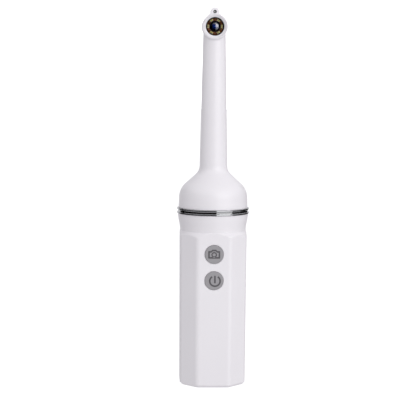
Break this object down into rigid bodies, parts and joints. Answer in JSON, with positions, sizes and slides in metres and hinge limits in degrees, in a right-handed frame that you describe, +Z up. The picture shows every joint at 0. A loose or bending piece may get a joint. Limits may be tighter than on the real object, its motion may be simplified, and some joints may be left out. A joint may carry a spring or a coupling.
{
  "type": "intraoral camera",
  "caption": "Cordless intraoral camera: faceted handle with push buttons, metal ring, domed slim wand and a round lit camera head with a pierced lug.",
  "frame": {"origin": "middle of the base on which the handle stands", "axes": "+Z up along the handle and wand; the lens and the buttons face -Y; +X to the right as seen from the front"},
  "size_m": [0.0384, 0.0384, 0.2004],
  "materials": {
    "white_shell": "satin white moulded plastic",
    "grey_button": "satin grey",
    "chrome": "polished",
    "clear_window": "polished clear",
    "lens_glass": "coated",
    "black_rubber": "matt",
    "amber_board": "satin",
    "led_lens": "clear yellow phosphor",
    "black_metal": "matt black anodised",
    "green_board": "satin solder mask",
    "black_chip": "matt",
    "metal_can": "satin",
    "flex_film": "satin film",
    "cell_wrap": "shrink film",
    "nickel": "satin",
    "grey_frame": "matt",
    "screw_steel": "satin"
  },
  "bodies": {
    "camera": {"wand_shell": "white_shell", "lug_bush": "black_rubber", "head_bezel": "white_shell", "head_window": "clear_window", "window_gasket": "black_rubber", "led_board": "amber_board", "lens_barrel": "black_metal", "front_lens": "lens_glass", "lens_holder": "black_metal", "image_sensor": "black_chip", "sensor_board": "green_board", "sensor_connector": "black_chip", "flex_cable": "flex_film", "neck_collar": "white_shell", "neck_seal": "black_rubber", "chrome_ring": "chrome", "handle_shell": "white_shell", "photo_switch": "black_chip", "power_switch": "black_chip", "chassis": "grey_frame", "battery_cell": "cell_wrap", "battery_tab_top": "nickel", "battery_tab_bottom": "nickel", "main_board": "green_board", "board_screws": "screw_steel", "board_connector": "black_chip", "image_processor": "black_chip", "wifi_module": "metal_can", "charge_socket": "metal_can", "end_cap": "white_shell", "end_cap_seal": "black_rubber", "cap_screws": "screw_steel", "led_1": "led_lens", "led_2": "led_lens", "led_3": "led_lens", "led_4": "led_lens", "led_5": "led_lens", "led_6": "led_lens"},
    "photo_key": {"photo_button": "grey_button", "photo_plunger": "black_chip"},
    "power_key": {"power_button": "grey_button", "power_plunger": "black_chip"}
  },
  "joints": [
    {"name": "photo_button_press", "type": "slide", "parent": "camera", "child": "photo_key", "axis": [0, 1, 0], "range_m": [0, 0.0004], "stiffness_N_per_m": 800},
    {"name": "power_button_press", "type": "slide", "parent": "camera", "child": "power_key", "axis": [0, 1, 0], "range_m": [0, 0.0004], "stiffness_N_per_m": 800}
  ]
}
